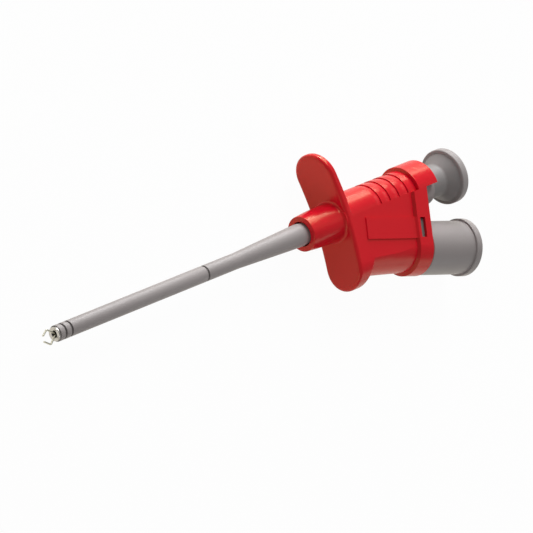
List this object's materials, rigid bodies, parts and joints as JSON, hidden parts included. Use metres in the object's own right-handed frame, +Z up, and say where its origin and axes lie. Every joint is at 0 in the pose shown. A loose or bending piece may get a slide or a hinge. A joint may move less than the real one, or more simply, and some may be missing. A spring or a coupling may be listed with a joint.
{
  "type": "clamp test probe",
  "caption": "Plunger-operated clamp test probe: long insulated tube with a pincer tip, finger guard, ridged grip, thumb button and a tilted shrouded lead socket.",
  "frame": {"origin": "below the middle of the probe's bounding box, at the level of the lowest point of the socket's collar, with the probe lying on its flank", "axes": "+X from the jaws to the thumb button along the main axis; +Y from the lead socket towards the button; +Z up, out of the flank that shows"},
  "size_m": [0.1319, 0.0384, 0.0129],
  "materials": {
    "red_moulding": "red moulded plastic, satin",
    "grey_moulding": "grey moulded plastic, satin",
    "grey_button": "grey moulded plastic, satin, worn smooth",
    "spring_steel": "bright spring steel",
    "plated_brass": "turned brass, plated"
  },
  "bodies": {
    "probe": {"housing": "red_moulding", "insulating_tube": "grey_moulding", "tip_ferrule": "spring_steel", "inner_tube": "spring_steel", "contact_bush": "plated_brass", "spring_washer": "spring_steel", "return_spring": "spring_steel", "socket_insert": "grey_moulding", "contact_sleeve": "grey_moulding", "socket_contact": "plated_brass", "contact_clip": "spring_steel", "leaf_contact": "plated_brass", "leaf_rivet": "plated_brass"},
    "plunger": {"thumb_button": "grey_button", "rod_insert": "plated_brass", "stop_ring": "spring_steel", "push_rod": "spring_steel", "jaw_crimp": "plated_brass"},
    "upper_jaw": {"jaw_upper": "spring_steel"},
    "lower_jaw": {"jaw_lower": "spring_steel"}
  },
  "joints": [
    {"name": "plunger_slide", "type": "slide", "parent": "probe", "child": "plunger", "axis": [-1, 0, 0], "range_m": [0, 0.005], "stiffness_N_per_m": 450, "springref_m": -0.006, "deforming": ["return_spring"]},
    {"name": "upper_jaw_opening", "type": "hinge", "parent": "plunger", "child": "upper_jaw", "pos_m": [-0.0564, 0.00355, 0.00646], "axis": [0, 0, -1], "range_deg": [0, 8.6]},
    {"name": "lower_jaw_opening", "type": "hinge", "parent": "plunger", "child": "lower_jaw", "pos_m": [-0.0564, 0.00311, 0.00646], "axis": [0, 0, 1], "range_deg": [0, 8.6]}
  ],
  "couplings": [
    {"joint": "upper_jaw_opening", "follows": "plunger_slide", "rad_per_m": 30},
    {"joint": "lower_jaw_opening", "follows": "plunger_slide", "rad_per_m": 30}
  ]
}
